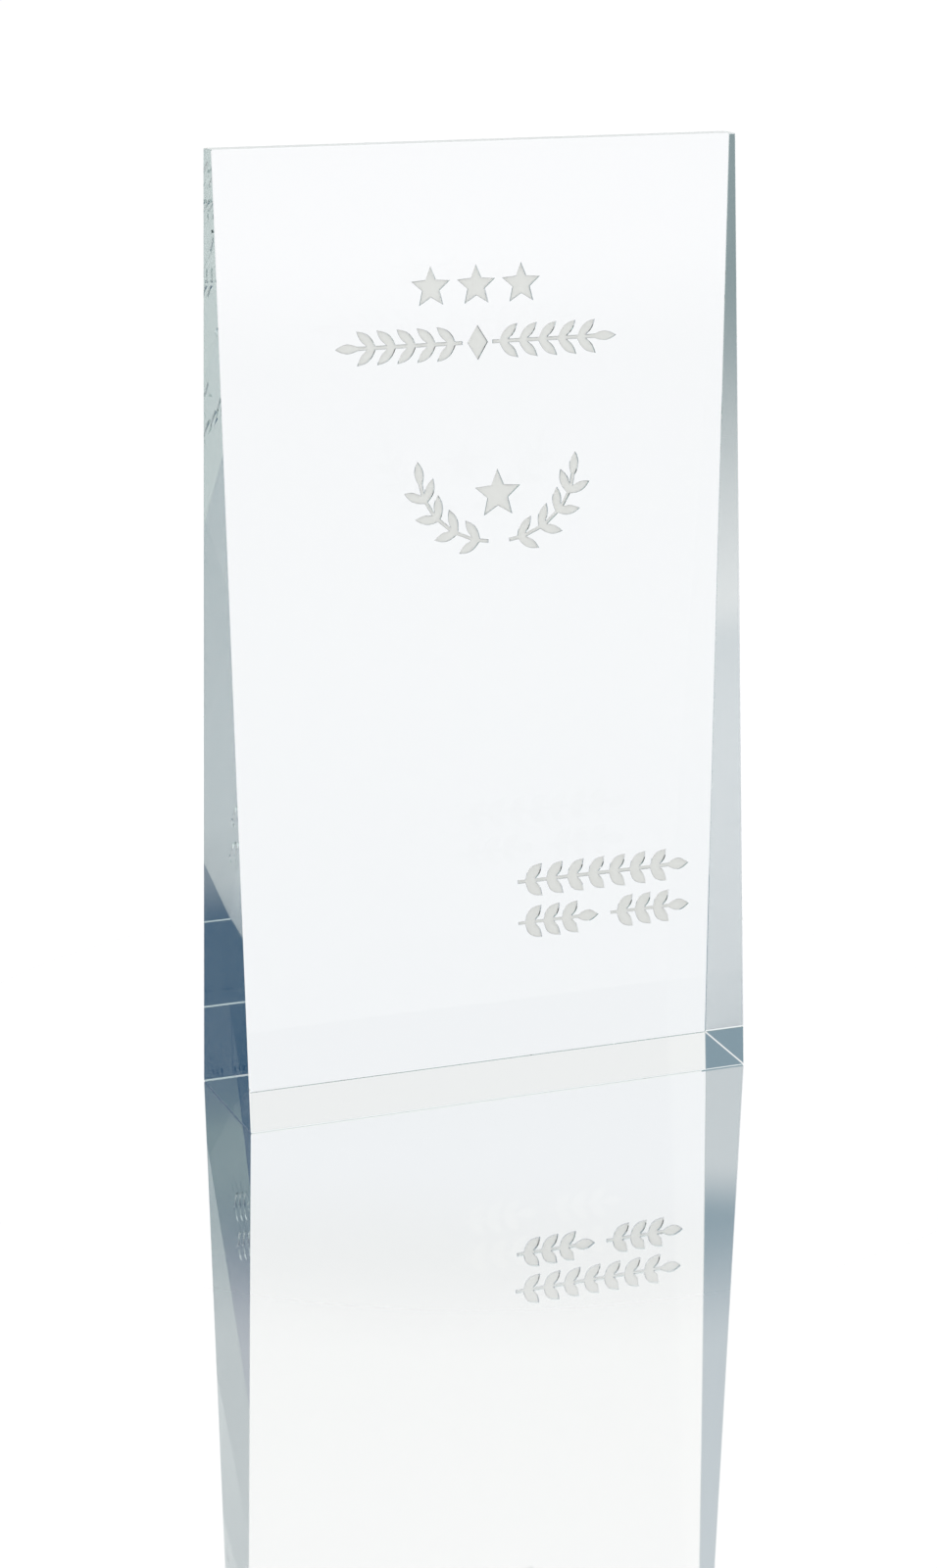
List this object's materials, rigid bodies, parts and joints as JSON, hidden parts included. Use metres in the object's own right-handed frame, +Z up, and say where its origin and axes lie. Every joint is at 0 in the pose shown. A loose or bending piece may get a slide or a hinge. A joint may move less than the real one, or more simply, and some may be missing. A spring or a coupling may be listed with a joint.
{
  "type": "crystal award",
  "caption": "Free-standing wedge of clear optical crystal with pale-filled etched stars, garland, laurel wreath and leaf sprays on its sloping front.",
  "frame": {"origin": "centre of the base, on the surface that the award stands on", "axes": "+Z up, X across the width, -Y out of the sloping face that carries the marks"},
  "size_m": [0.115, 0.034, 0.2032],
  "materials": {
    "crystal": "clear polished optical crystal, very faint cool tint",
    "etch_fill": "pale grey frosted fill, matt"
  },
  "bodies": {
    "root": {"crystal_block": "crystal", "star_left": "etch_fill", "star_centre": "etch_fill", "star_right": "etch_fill", "garland_left": "etch_fill", "garland_gem": "etch_fill", "garland_right": "etch_fill", "wreath_left": "etch_fill", "wreath_star": "etch_fill", "wreath_right": "etch_fill", "dedication_upper": "etch_fill", "dedication_lower_left": "etch_fill", "dedication_lower_right": "etch_fill"}
  },
  "joints": []
}
